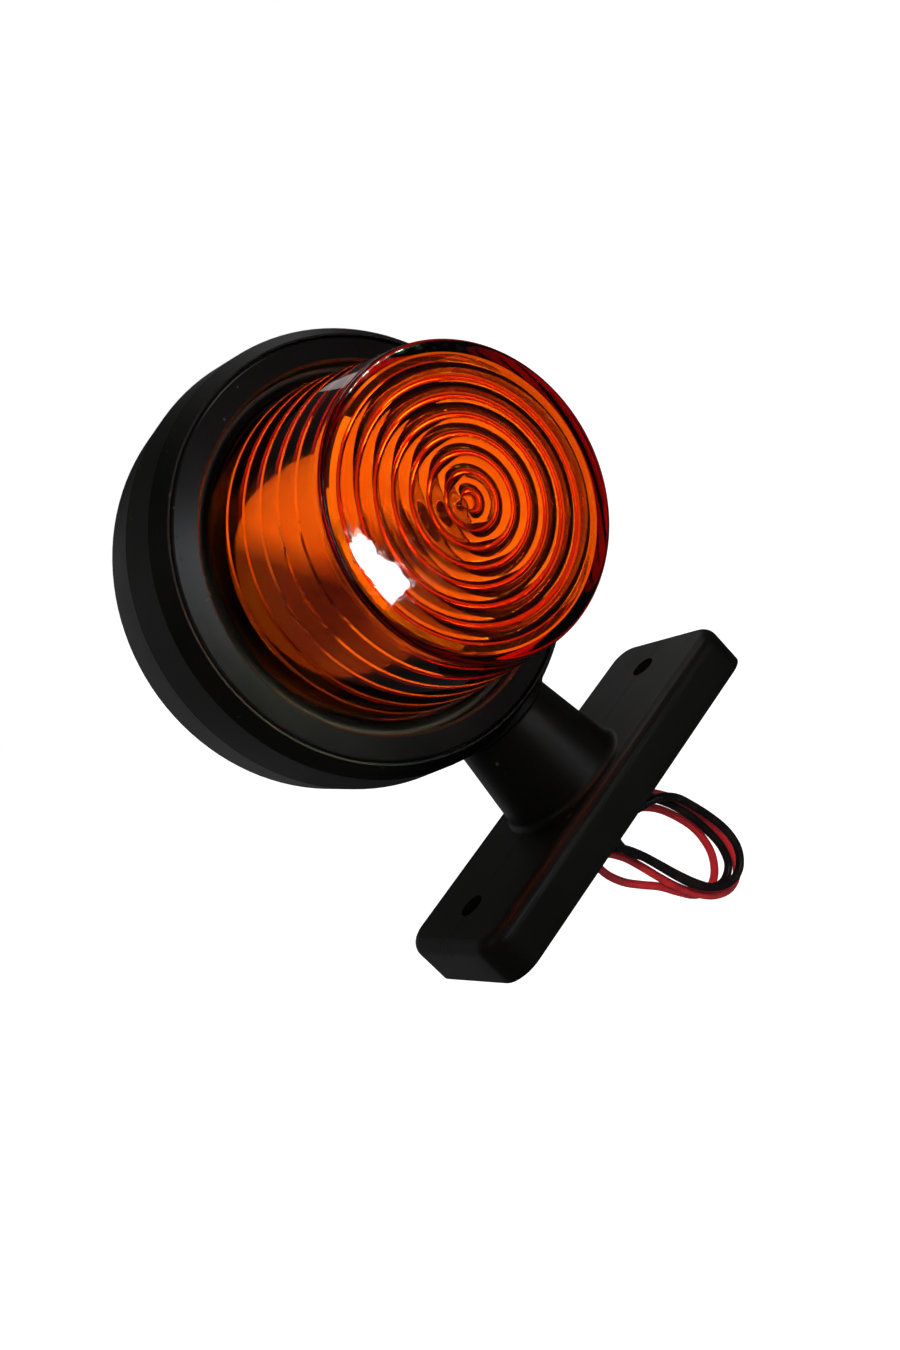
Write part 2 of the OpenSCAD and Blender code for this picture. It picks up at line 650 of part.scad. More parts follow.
module red_lead() color([0.75, 0.12, 0.15]) sweep(red_path, lead_r, cord_sides);
module black_lead() color([0.05, 0.05, 0.05]) sweep(black_path, lead_r, cord_sides);

module lead_tip(path) {
    n = len(path) - 1;
    rod(path[n], path[n] + tip_l * tangent(path, n), core_d / 2);
}
module red_tip() color([0.8, 0.78, 0.74]) lead_tip(red_path);
module black_tip() color([0.8, 0.78, 0.74]) lead_tip(black_path);

// Least clear gap of a route to itself, and of two routes to each other, measured on points a step apart
function self_gap(p, step) =
    min([for (i = [0:len(p) - 1], j = [0:len(p) - 1]) if (j > i + step) norm(p[i] - p[j])]) - lead_d;
function pair_gap(p, q) = min([for (a = p, b = q) norm(a - b)]) - lead_d;
far_points = 10;
fine_steps = 4;
fine_red = smooth_route(red_path, fine_steps);
fine_black = smooth_route(black_path, fine_steps);
function route_length(p) = let (d = [for (i = [1:len(p) - 1]) norm(p[i] - p[i - 1])]) d * [for (x = d) 1];
echo(red_length = route_length(red_path), black_length = route_length(black_path));
echo(red_self_gap = self_gap(fine_red, far_points), black_self_gap = self_gap(fine_black, far_points),
    red_to_black_gap = pair_gap(fine_red, fine_black));

housing();
lens_seal();
lens_ring();
lens();
holder_shell();
holder_screws();
base_disc();
live_tab();
earth_tab();
contact_spring();
contact_disc();
contact_stud();
reflector();
bulb_cap();
bulb_pins();
bulb_insulator();
bulb_contact();
bulb_glass();
bulb_stem();
filament_posts();
filament();
red_inner_lead();
black_inner_lead();
red_core();
black_core();
cable_bush();
red_lead();
black_lead();
red_tip();
black_tip();
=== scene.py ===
import bpy, bmesh, math
from mathutils import Matrix, Vector


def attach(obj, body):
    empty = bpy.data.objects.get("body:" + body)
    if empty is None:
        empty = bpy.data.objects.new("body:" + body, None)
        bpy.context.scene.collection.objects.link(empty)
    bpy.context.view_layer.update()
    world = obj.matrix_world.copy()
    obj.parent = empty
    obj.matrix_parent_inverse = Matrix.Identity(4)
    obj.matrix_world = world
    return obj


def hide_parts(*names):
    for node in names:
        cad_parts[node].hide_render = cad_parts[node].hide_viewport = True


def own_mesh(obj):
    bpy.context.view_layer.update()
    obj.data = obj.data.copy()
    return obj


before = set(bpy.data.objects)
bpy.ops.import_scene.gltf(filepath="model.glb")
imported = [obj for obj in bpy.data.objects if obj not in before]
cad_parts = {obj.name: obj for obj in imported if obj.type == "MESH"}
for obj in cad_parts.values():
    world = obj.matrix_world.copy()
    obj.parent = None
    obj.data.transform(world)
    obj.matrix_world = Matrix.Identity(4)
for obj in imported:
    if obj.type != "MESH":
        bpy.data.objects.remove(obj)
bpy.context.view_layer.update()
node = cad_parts
MM = 0.001

# ---- Camera ----
# A standard lens a forearm's length from the head, rolled so that the foot's long side climbs to the right.
camera_data = bpy.data.cameras.new("camera")
camera_data.lens = 38.65
camera_data.sensor_width = 36
camera_data.clip_start = 0.01
camera = bpy.data.objects.new("camera", camera_data)
bpy.context.scene.collection.objects.link(camera)
right = Vector((0.5608819, -0.4827986, -0.6725451))
down = Vector((-0.7059858, 0.1453908, -0.6931418))
ahead = Vector((0.4324298, 0.8635780, -0.2593019))
turn = Matrix((right, -down, -ahead)).transposed().to_4x4()
camera.matrix_world = Matrix.Translation((-0.13306, -0.26267, 0.12399)) @ turn
bpy.context.scene.camera = camera

# ---- Free leads ----
# Two single-core automotive leads, 1.9 mm over their PVC insulation, come out of the bush in the foot's
# pocket. Each is laid in two loose loops below the foot, as it is packed, and ends in 6 mm of bare strands.


def new_piece(name, data):
    piece = bpy.data.objects.new(name, data)
    bpy.context.scene.collection.objects.link(piece)
    return piece


def new_material(name):
    """A material with its nodes and links, and its one shader."""
    material = bpy.data.materials.new(name)
    material.use_nodes = True
    nodes, links = material.node_tree.nodes, material.node_tree.links
    return material, nodes, links, nodes["Principled BSDF"]


def new_finish_group(name, colours, numbers):
    """A shader group that takes colours and numbers, and gives a colour, a roughness and a height."""
    group = bpy.data.node_groups.new(name, "ShaderNodeTree")
    for colour in colours:
        group.interface.new_socket(colour, in_out="INPUT", socket_type="NodeSocketColor")
    for number, value in numbers:
        socket = group.interface.new_socket(number, in_out="INPUT", socket_type="NodeSocketFloat")
        socket.default_value = value
    for made, kind in (("Colour", "Color"), ("Roughness", "Float"), ("Height", "Float")):
        group.interface.new_socket(made, in_out="OUTPUT", socket_type="NodeSocket" + kind)
    return group, group.nodes, group.links, group.nodes.new("NodeGroupInput"), group.nodes.new("NodeGroupOutput")


def noise(nodes, links, place, scale, detail=2.0, stretch=None):
    """A noise over the object's own coordinates; its scale is a number or an input of the group."""
    texture = nodes.new("ShaderNodeTexNoise")
    texture.inputs["Detail"].default_value = detail
    if stretch:
        squeezed = nodes.new("ShaderNodeMapping")
        squeezed.inputs["Scale"].default_value = stretch
        links.new(place, squeezed.inputs["Vector"])
        place = squeezed.outputs["Vector"]
    links.new(place, texture.inputs["Vector"])
    if isinstance(scale, (int, float)):
        texture.inputs["Scale"].default_value = scale
    else:
        links.new(scale, texture.inputs["Scale"])
    return texture.outputs["Fac"]


def ramp(nodes, links, value, low, high, to_low=0.0, to_high=1.0):
    """Turns the stretch of a value from low to high into the stretch from to_low to to_high."""
    spread = nodes.new("ShaderNodeMapRange")
    for socket, number in (("From Min", low), ("From Max", high), ("To Min", to_low), ("To Max", to_high)):
        if isinstance(number, (int, float)):
            spread.inputs[socket].default_value = number
        else:
            links.new(number, spread.inputs[socket])
    links.new(value, spread.inputs["Value"])
    return spread.outputs["Result"]


def calc(nodes, links, operation, first, second, third=None):
    """One math node, whose inputs are numbers or sockets."""
    step = nodes.new("ShaderNodeMath")
    step.operation = operation
    for socket, value in zip(step.inputs, (first, second, third)):
        if isinstance(value, (int, float)):
            socket.default_value = value
        elif value is not None:
            links.new(value, socket)
    return step.outputs[0]


def mixed(nodes, links, factor, low, high):
    """A colour between two, by a factor; each colour is three numbers or a socket."""
    mix = nodes.new("ShaderNodeMix")
    mix.data_type = "RGBA"
    links.new(factor, mix.inputs["Factor"])
    for socket, colour in zip(mix.inputs[6:8], (low, high)):
        if isinstance(colour, tuple):
            socket.default_value = (*colour, 1)
        else:
            links.new(colour, socket)
    return mix.outputs[2]


def dressed(name, group, colours, numbers, bump_depth, metallic=0.0, specular=0.5, coat=0.0):
    """A material whose colour, roughness and height come from a finish group."""
    material, nodes, links, shader = new_material(name)
    skin = nodes.new("ShaderNodeGroup")
    skin.node_tree = group
    for socket, colour in colours.items():
        skin.inputs[socket].default_value = (*colour, 1)
    for socket, value in numbers.items():
        skin.inputs[socket].default_value = value
    bump = nodes.new("ShaderNodeBump")
    bump.inputs["Strength"].default_value = 0.5
    bump.inputs["Distance"].default_value = bump_depth
    links.new(skin.outputs["Colour"], shader.inputs["Base Color"])
    links.new(skin.outputs["Roughness"], shader.inputs["Roughness"])
    links.new(skin.outputs["Height"], bump.inputs["Height"])
    links.new(bump.outputs["Normal"], shader.inputs["Normal"])
    shader.inputs["Metallic"].default_value = metallic
    shader.inputs["Specular IOR Level"].default_value = specular
    shader.inputs["Coat Weight"].default_value = coat
    return material


def drawn_finish():
    """Drawn PVC: soft ripples from the die, fine pits, and a little grime in the low places."""
    group, nodes, links, given, made = new_finish_group(
        "Drawn surface", ("Colour", "Grime"), (("Ripple scale", 240.0), ("Gloss", 0.3), ("Spread", 0.15)))
    place = nodes.new("ShaderNodeTexCoord").outputs["Object"]
    ripple = noise(nodes, links, place, given.outputs["Ripple scale"], 3)
    pits = noise(nodes, links, place, 2600)
    grimy = ramp(nodes, links, ripple, 0.45, 0.7, 0, 0.55)
    links.new(mixed(nodes, links, grimy, given.outputs["Colour"], given.outputs["Grime"]), made.inputs["Colour"])
    links.new(calc(nodes, links, "MULTIPLY_ADD", ripple, given.outputs["Spread"], given.outputs["Gloss"]),
              made.inputs["Roughness"])
    links.new(calc(nodes, links, "MULTIPLY_ADD", pits, 0.3, ripple), made.inputs["Height"])
    return group


drawn_surface = drawn_finish()
red_pvc = dressed("red insulation", drawn_surface, {"Colour": (0.53, 0.024, 0.036), "Grime": (0.28, 0.012, 0.02)},
                  {"Gloss": 0.26}, 0.00005)
black_pvc = dressed("black insulation", drawn_surface,
                    {"Colour": (0.005, 0.005, 0.006), "Grime": (0.016, 0.015, 0.015)}, {"Gloss": 0.2}, 0.00005)

lead_d = 1.9
tip_l = 6
tip_gap = 0.2
strand_r = 0.18
strand_lay_r = 0.36
red_route = [
    (0, 1.5, 2.5), (0, 1.5, 0), (0.8, 1.7, -2.9), (3, 2.2, -5.1), (7, 3.4, -7.5), (11.5, 4.6, -10.6),
    (15, 5, -14.6), (17.2, 5, -19.5), (18.6, 5, -25), (18.5, 5, -29.5), (17.2, 5, -33.5), (14.2, 5, -36.6),
    (10.4, 5, -37.4), (6.8, 5, -35.2), (4.2, 5, -31), (1.8, 5, -26.4), (-1.2, 5, -22.3), (-4, 5, -18),
    (-5.6, 5.2, -13), (-5, 5.4, -8), (-2, 5.4, -4.2), (3, 5.2, -2.4), (8, 4.6, -3.2), (12.6, 3.8, -6.4),
    (16.2, 2.9, -11), (19, 2.5, -16.4), (21, 2.5, -23), (21.6, 2.5, -29.5), (20.6, 2.5, -35.6),
    (17.6, 2.5, -39.8), (13.4, 2.5, -40.6), (9.2, 2.5, -38.2), (6, 2.5, -33.8), (3.6, 2.5, -28.6),
    (2, 2.5, -23.4), (0.6, 2.5, -18), (-0.9, 2.5, -13.4), (-3.6, 2.6, -9), (-8, 3, -6), (-13.5, 3.4, -5),
]
black_route = [
    (0, -1.5, 2.5), (0, -1.5, 0), (0.8, -1.5, -2.9), (3, -1.8, -5.1), (7.5, -2.3, -7.2), (12.6, -3, -9.4),
    (16.2, -2.8, -13), (18.2, -2.5, -18), (19.7, -2.5, -24), (20.2, -2.5, -29.3), (19, -2.5, -34),
    (15.7, -2.5, -36.8), (11.4, -2.5, -36.5), (7.2, -2.5, -33.2), (4.4, -2.5, -28.8), (2.7, -2.5, -23.9),
    (1.4, -2.5, -19), (0, -2.6, -14.4), (-2, -3.1, -10.6), (-2.5, -4.1, -6.5), (-0.5, -4.9, -3.1),
    (3.4, -4.9, -1.6), (8, -3.2, -2.4), (11.4, -0.6, -5.4), (13.6, 0, -10), (15.9, 0, -15),
    (17.4, 0, -20.5), (18, 0, -26.3), (17.8, 0, -31.2), (16, 0, -35.2), (12.4, 0, -36.6), (8.9, 0, -35),
    (6.4, 0, -30.6), (4.4, 0, -25.1), (2.9, 0, -20.1), (1.3, 0, -15.2), (-0.8, 0, -10.8),
    (-4.4, -0.4, -7.2), (-9.4, -0.8, -5),
]


def smooth_line(points, steps):
    """A Catmull-Rom curve through the points of a route, in metres."""
    p = [Vector(q) * MM for q in points]
    p = [2 * p[0] - p[1]] + p + [2 * p[-1] - p[-2]]
    line = []
    for i in range(1, len(p) - 2):
        a, b, c, d = p[i - 1 : i + 3]
        for s in range(steps):
            t = s / steps
            line.append((2 * b + (c - a) * t + (2 * a - 5 * b + 4 * c - d) * t * t
                         + (3 * b - a - 3 * c + d) * t * t * t) / 2)
    return line + [p[-2]]


def rule_tree(name, inputs, output):
    """A geometry tree with named inputs, and the parts it is built with."""
    tree = bpy.data.node_groups.new(name, "GeometryNodeTree")
    for label, kind, value in inputs:
        socket = tree.interface.new_socket(label, in_out="INPUT", socket_type="NodeSocket" + kind)
        if value is not None:
            socket.default_value = value
    tree.interface.new_socket("Finish", in_out="INPUT", socket_type="NodeSocketMaterial")
    tree.interface.new_socket(output, in_out="OUTPUT", socket_type="NodeSocketGeometry")
    return tree, tree.nodes, tree.links, tree.nodes.new("NodeGroupInput"), tree.nodes.new("NodeGroupOutput")


def finished(nodes, links, shape, given, made):
    """Ends a geometry tree: real geometry, with its material on it."""
    whole = nodes.new("GeometryNodeRealizeInstances")
    links.new(shape, whole.inputs["Geometry"])
    coated = nodes.new("GeometryNodeSetMaterial")
    links.new(whole.outputs["Geometry"], coated.inputs["Geometry"])
    links.new(given.outputs["Finish"], coated.inputs["Material"])
    links.new(coated.outputs["Geometry"], made.inputs[0])


def grown(name, tree, values, start=None):
    """Runs a tree, and returns what it makes as a plain piece."""
    seed = new_piece(name + "_seed", start or bpy.data.meshes.new(name + "_seed"))
    modifier = seed.modifiers.new("grow", "NODES")
    modifier.node_group = tree
    for item in tree.interface.items_tree:
        if item.in_out == "INPUT" and item.name in values:
            modifier[item.identifier] = values[item.name]
    graph = bpy.context.evaluated_depsgraph_get()
    mesh = bpy.data.meshes.new_from_object(seed.evaluated_get(graph))
    bpy.data.objects.remove(seed)
    mesh.name = name
    return new_piece(name, mesh)


def placed_vector(nodes, links, x, y, z):
    join = nodes.new("ShaderNodeCombineXYZ")
    for socket, value in zip(join.inputs, (x, y, z)):
        if isinstance(value, (int, float)):
            socket.default_value = value
        else:
            links.new(value, socket)
    return join.outputs[0]


def round_axis(nodes, links, angle, radius):
    """The x and y of a place at an angle round the Z axis, and at a radius from it."""
    return [calc(nodes, links, "MULTIPLY", calc(nodes, links, wave, angle, 0), radius) for wave in ("COSINE", "SINE")]


def wire_along(nodes, links, curve, radius, sides):
    """A round wire along a curve, closed at its ends."""
    ring = nodes.new("GeometryNodeCurvePrimitiveCircle")
    ring.inputs["Resolution"].default_value = sides
    links.new(radius, ring.inputs["Radius"])
    tube = nodes.new("GeometryNodeCurveToMesh")
    tube.inputs["Fill Caps"].default_value = True
    links.new(curve, tube.inputs["Curve"])
    links.new(ring.outputs["Curve"], tube.inputs["Profile Curve"])
    return tube.outputs["Mesh"]


def strand_tree():
    """A straight core wire and a lay of wires twisted round it."""
    tree, nodes, links, given, made = rule_tree("Twisted strands", (
        ("Outer wires", "Int", 6), ("Wire radius", "Float", 0.0002), ("Lay radius", "Float", 0.0004),
        ("Lay length", "Float", 0.009), ("Length", "Float", 0.006)), "Strands")
    line = nodes.new("GeometryNodeCurvePrimitiveLine")
    links.new(placed_vector(nodes, links, 0, 0, given.outputs["Length"]), line.inputs["End"])
    fine = nodes.new("GeometryNodeResampleCurve")
    fine.inputs["Count"].default_value = 24
    links.new(line.outputs["Curve"], fine.inputs["Curve"])
    wires = nodes.new("GeometryNodeDuplicateElements")
    wires.domain = "SPLINE"
    links.new(fine.outputs["Curve"], wires.inputs["Geometry"])
    links.new(given.outputs["Outer wires"], wires.inputs["Amount"])
    split = nodes.new("ShaderNodeSeparateXYZ")
    links.new(nodes.new("GeometryNodeInputPosition").outputs[0], split.inputs[0])
    share = calc(nodes, links, "DIVIDE", wires.outputs["Duplicate Index"], given.outputs["Outer wires"])
    along = calc(nodes, links, "DIVIDE", split.outputs["Z"], given.outputs["Lay length"])
    turns = calc(nodes, links, "ADD", share, along)
    angle = calc(nodes, links, "MULTIPLY", turns, 2 * math.pi)
    laid = nodes.new("GeometryNodeSetPosition")
    links.new(wires.outputs["Geometry"], laid.inputs["Geometry"])
    x, y = round_axis(nodes, links, angle, given.outputs["Lay radius"])
    links.new(placed_vector(nodes, links, x, y, split.outputs["Z"]), laid.inputs["Position"])
    both = nodes.new("GeometryNodeJoinGeometry")
    links.new(laid.outputs["Geometry"], both.inputs[0])
    links.new(fine.outputs["Curve"], both.inputs[0])
    finished(nodes, links, wire_along(nodes, links, both.outputs[0], given.outputs["Wire radius"], 8), given, made)
    return tree


def metal_finish():
    """Plated or rolled metal: faint drawing lines, cloudy tarnish, and pits."""
    group, nodes, links, given, made = new_finish_group(
        "Worked metal", ("Colour", "Tarnish"),
        (("Cloud scale", 160.0), ("Gloss", 0.25), ("Spread", 0.2), ("Amount", 0.5)))
    place = nodes.new("ShaderNodeTexCoord").outputs["Object"]
    clouds = noise(nodes, links, place, given.outputs["Cloud scale"], 4)
    lines = noise(nodes, links, place, 900, 2, (1, 8, 1))
    stained = calc(nodes, links, "MULTIPLY", ramp(nodes, links, clouds, 0.4, 0.75), given.outputs["Amount"])
    links.new(mixed(nodes, links, stained, given.outputs["Colour"], given.outputs["Tarnish"]), made.inputs["Colour"])
    links.new(calc(nodes, links, "MULTIPLY_ADD", clouds, given.outputs["Spread"], given.outputs["Gloss"]),
              made.inputs["Roughness"])
    links.new(calc(nodes, links, "MULTIPLY_ADD", lines, 0.5, clouds), made.inputs["Height"])
    return group


worked_metal = metal_finish()
copper = dressed("bare copper", worked_metal, {"Colour": (0.83, 0.42, 0.22), "Tarnish": (0.35, 0.14, 0.07)},
                 {"Gloss": 0.2, "Spread": 0.3, "Cloud scale": 700.0}, 0.00001, metallic=1.0)
strands = strand_tree()


def lead(colour, route, material):
    """One lead along its route, and the twisted strands at its end."""
    line = smooth_line(route, 4)
    curve = bpy.data.curves.new(colour + "_lead_wire", "CURVE")
    curve.dimensions = "3D"
    spline = curve.splines.new("POLY")
    spline.points.add(len(line) - 1)
    for point, place in zip(spline.points, line):
        point.co = (*place, 1)
    curve.bevel_depth = lead_d / 2 * MM
    curve.bevel_resolution = 6
    curve.use_fill_caps = True
    curve.materials.append(material)
    wire = new_piece(curve.name, curve)
    out = (line[-1] - line[-2]).normalized()
    tip = grown(colour + "_strands", strands, {"Wire radius": strand_r * MM, "Lay radius": strand_lay_r * MM,
                                               "Lay length": 9 * MM, "Length": (tip_l - tip_gap) * MM,
                                               "Finish": copper})
    tip.data.transform(Matrix.Translation(line[-1]) @ out.to_track_quat("Z", "Y").to_matrix().to_4x4())
    tip.data.shade_smooth()
    for piece, cad in ((wire, "_lead"), (tip, "_tip")):
        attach(piece, "lamp")
        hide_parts(colour + cad)


lead("red", red_route, red_pvc)
lead("black", black_route, black_pvc)

# ---- Housing ----
# One black rubber moulding: the round head with its closed back, the short stalk, and the foot with its
# two screw holes. The mould parts on the plane of the stalk, and leaves a fine line there.


def moulded_finish():
    """Moulded rubber or plastic: a fine grain, cloudy gloss from handling, and sparse specks of dust."""
    group, nodes, links, given, made = new_finish_group(
        "Moulded skin", ("Colour", "Bloom", "Dust"),
        (("Grain scale", 1500.0), ("Cloud scale", 45.0), ("Gloss", 0.35), ("Spread", 0.2), ("Dust share", 0.03)))
    place = nodes.new("ShaderNodeTexCoord").outputs["Object"]
    grain = noise(nodes, links, place, given.outputs["Grain scale"], 3)
    clouds = noise(nodes, links, place, given.outputs["Cloud scale"], 4)
    bloomed = ramp(nodes, links, clouds, 0.42, 0.72, 0, 0.7)
    skin = mixed(nodes, links, bloomed, given.outputs["Colour"], given.outputs["Bloom"])
    cells = nodes.new("ShaderNodeTexVoronoi")
    cells.inputs["Scale"].default_value = 330
    links.new(place, cells.inputs["Vector"])
    few = noise(nodes, links, place, 120, 1)
    reach = calc(nodes, links, "MULTIPLY", ramp(nodes, links, few, 0.5, 0.7), 0.16)
    speck = calc(nodes, links, "LESS_THAN", cells.outputs["Distance"], reach)
    speck = calc(nodes, links, "MULTIPLY", speck, given.outputs["Dust share"])
    links.new(mixed(nodes, links, speck, skin, given.outputs["Dust"]), made.inputs["Colour"])
    gloss = calc(nodes, links, "MULTIPLY_ADD", clouds, given.outputs["Spread"], given.outputs["Gloss"])
    links.new(calc(nodes, links, "MULTIPLY_ADD", speck, 0.5, gloss), made.inputs["Roughness"])
    links.new(calc(nodes, links, "MULTIPLY_ADD", speck, 2, grain), made.inputs["Height"])
    return group


moulded_skin = moulded_finish()
black_rubber = dressed("black rubber", moulded_skin,
                       {"Colour": (0.0012, 0.0015, 0.0014), "Bloom": (0.0025, 0.003, 0.0029),
                        "Dust": (0.05, 0.05, 0.047)},
                       {"Gloss": 0.3, "Spread": 0.22, "Dust share": 0.35}, 0.00006, specular=0.45)
nodes, links = black_rubber.node_tree.nodes, black_rubber.node_tree.links
bump = nodes["Bump"]
grain_height = bump.inputs["Height"].links[0].from_socket
split = nodes.new("ShaderNodeSeparateXYZ")
links.new(nodes.new("ShaderNodeTexCoord").outputs["Object"], split.inputs[0])
from_parting = calc(nodes, links, "ABSOLUTE", split.outputs["Y"], 0)
flash_crest, flash_foot, flash_height = 0.08 * MM, 0.22 * MM, 4
flash = ramp(nodes, links, from_parting, flash_crest, flash_foot, flash_height, 0)
links.new(calc(nodes, links, "ADD", flash, grain_height), bump.inputs["Height"])


def dress(cad, material):
    """Puts a material on a solid of the frame."""
    node[cad].data.materials.clear()
    node[cad].data.materials.append(material)


dress("housing", black_rubber)

# ---- Bush and inner leads ----
# A soft bush fills the channel's mouth in the foot's pocket. Inside, each lead climbs the hollow stalk to a
# tab of the bulb holder, where its stripped end is soldered.
bush_rubber = dressed("bush rubber", moulded_skin,
                      {"Colour": (0.01, 0.01, 0.01), "Bloom": (0.02, 0.02, 0.019), "Dust": (0.3, 0.3, 0.28)},
                      {"Gloss": 0.5, "Dust share": 0.3}, 0.00008, specular=0.35)
dress("cable_bush", bush_rubber)
dress("red_inner_lead", red_pvc)
dress("black_inner_lead", black_pvc)
dress("red_core", copper)
dress("black_core", copper)

# ---- Bulb holder ----
# A bayonet shell drawn from zinc-plated steel, fixed to two bosses of the cup by pan-head screws. A paper
# laminate disc carries the brass live tab; the brass earth tab is brazed to the shell's flange.
zinc = dressed("zinc plate", worked_metal, {"Colour": (0.62, 0.63, 0.66), "Tarnish": (0.36, 0.35, 0.31)},
               {"Gloss": 0.22, "Cloud scale": 130.0}, 0.00002, metallic=1.0)
brass = dressed("rolled brass", worked_metal, {"Colour": (0.80, 0.57, 0.22), "Tarnish": (0.40, 0.24, 0.09)},
                {"Gloss": 0.18, "Cloud scale": 190.0}, 0.00002, metallic=1.0)


def laminate_finish():
    """Pressed paper laminate: darker sheets edge-on, and mottled resin on the face."""
    group, nodes, links, given, made = new_finish_group(
        "Paper laminate", ("Colour", "Resin"), (("Sheet scale", 2600.0), ("Gloss", 0.35), ("Spread", 0.25)))
    place = nodes.new("ShaderNodeTexCoord").outputs["Object"]
    sheets = noise(nodes, links, place, given.outputs["Sheet scale"], 1, (0.05, 1, 0.05))
    mottle = noise(nodes, links, place, 420, 4)
    both = calc(nodes, links, "MULTIPLY", sheets, mottle)
    pale = ramp(nodes, links, both, 0.15, 0.4)
    links.new(mixed(nodes, links, pale, given.outputs["Resin"], given.outputs["Colour"]), made.inputs["Colour"])
    links.new(calc(nodes, links, "MULTIPLY_ADD", mottle, given.outputs["Spread"], given.outputs["Gloss"]),
              made.inputs["Roughness"])
    links.new(both, made.inputs["Height"])
    return group


laminate = dressed("paper laminate", laminate_finish(),
                   {"Colour": (0.17, 0.065, 0.022), "Resin": (0.075, 0.026, 0.009)}, {}, 0.00003)
dress("holder_shell", zinc)
dress("base_disc", laminate)
dress("live_tab", brass)
dress("earth_tab", brass)
lens_axis_z = 77 * MM


def seat_on_axis(mesh):
    """Turns what stands on +Z at the origin onto the lens axis, where +Z becomes -Y."""
    mesh.transform(Matrix.Translation((0, 0, lens_axis_z)) @ Matrix.Rotation(math.radians(90), 4, "X"))


def closed(mesh, crease=35):
    """Joins doubled points, points the faces outwards, and keeps the corners over an angle sharp."""
    form = bmesh.new()
    form.from_mesh(mesh)
    bmesh.ops.remove_doubles(form, verts=form.verts, dist=0.000002)
    bmesh.ops.dissolve_degenerate(form, edges=form.edges, dist=0.0000005)
    bmesh.ops.recalc_face_normals(form, faces=form.faces)
    form.to_mesh(mesh)
    form.free()
    mesh.shade_smooth()
    mesh.set_sharp_from_angle(angle=math.radians(crease))


def turned(name, section, segments, material):
    """Turns a closed section of (radius, depth) points, in millimetres, round the lens axis."""
    form = bmesh.new()
    around = [(math.cos(2 * math.pi * i / segments), math.sin(2 * math.pi * i / segments)) for i in range(segments)]
    rows = [[form.verts.new((r * MM * x, r * MM * y, d * MM)) for x, y in around] for r, d in section]
    for a, b in zip(rows, rows[1:] + rows[:1]):
        for i in range(segments):
            k = (i + 1) % segments
            form.faces.new((a[i], a[k], b[k], b[i]))
    mesh = bpy.data.meshes.new(name)
    form.to_mesh(mesh)
    form.free()
    seat_on_axis(mesh)
    closed(mesh)
    mesh.materials.append(material)
    return new_piece(name, mesh)


def rounded(cx, cy, r, start, end, steps=6):
    """Points of an arc in a section, from one angle to another, in degrees."""
    return [(cx + r * math.cos(math.radians(start + (end - start) * i / steps)),
             cy + r * math.sin(math.radians(start + (end - start) * i / steps))) for i in range(steps + 1)]


